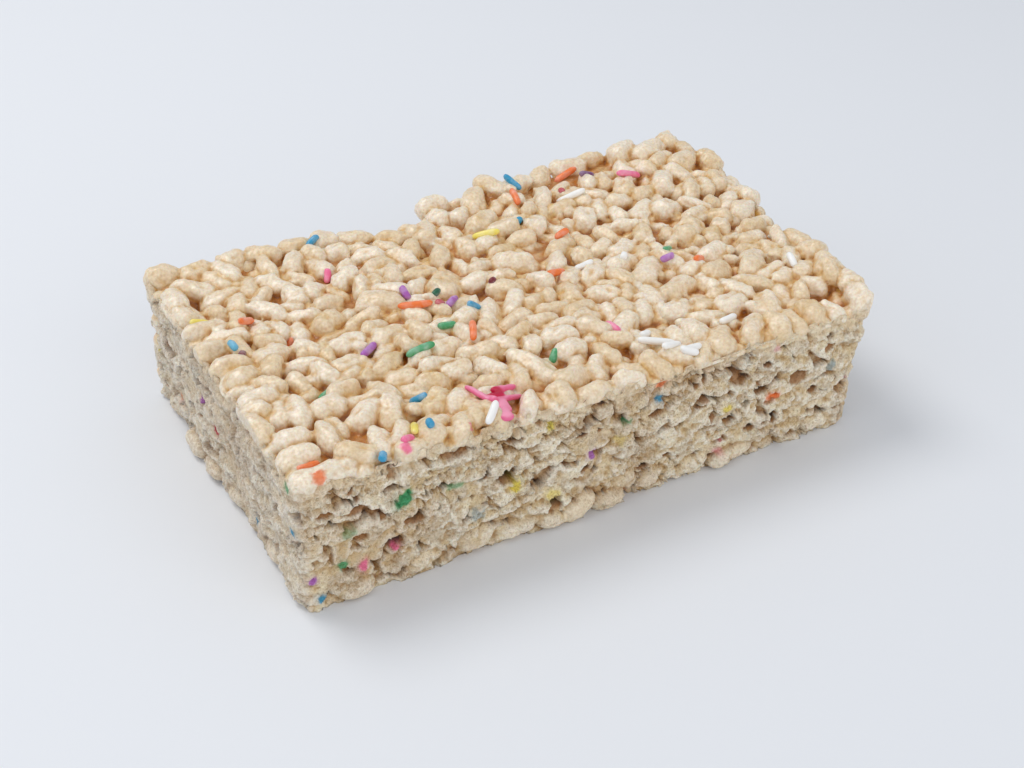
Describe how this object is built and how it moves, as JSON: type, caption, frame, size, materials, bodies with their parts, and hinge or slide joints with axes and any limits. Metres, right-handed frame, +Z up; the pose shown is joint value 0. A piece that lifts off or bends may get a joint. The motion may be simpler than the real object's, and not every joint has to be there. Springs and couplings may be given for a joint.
{
  "type": "crispy rice treat",
  "caption": "Rectangular bar of puffed rice grains set in marshmallow, with knife-cut sides and coloured sugar sprinkles on and in it.",
  "frame": {"origin": "middle of the base, below the centre of the overall box", "axes": "+X along the long cut side that the camera sees, to its right; +Y from that side towards the pan's edge at the back; +Z up out of the grains"},
  "size_m": [0.1178, 0.0734, 0.0276],
  "materials": {
    "rice": "puffed rice grains under a soft, slightly glossy marshmallow glaze, amber in the gaps",
    "crumb": "matte, pitted cut crumb of puffed rice with small brown pores",
    "sprinkles": "coloured sugar strands with a soft sheen, in red, pink, orange, yellow, green, blue, purple and white"
  },
  "bodies": {
    "root": {"treat": "rice"}
  },
  "joints": []
}
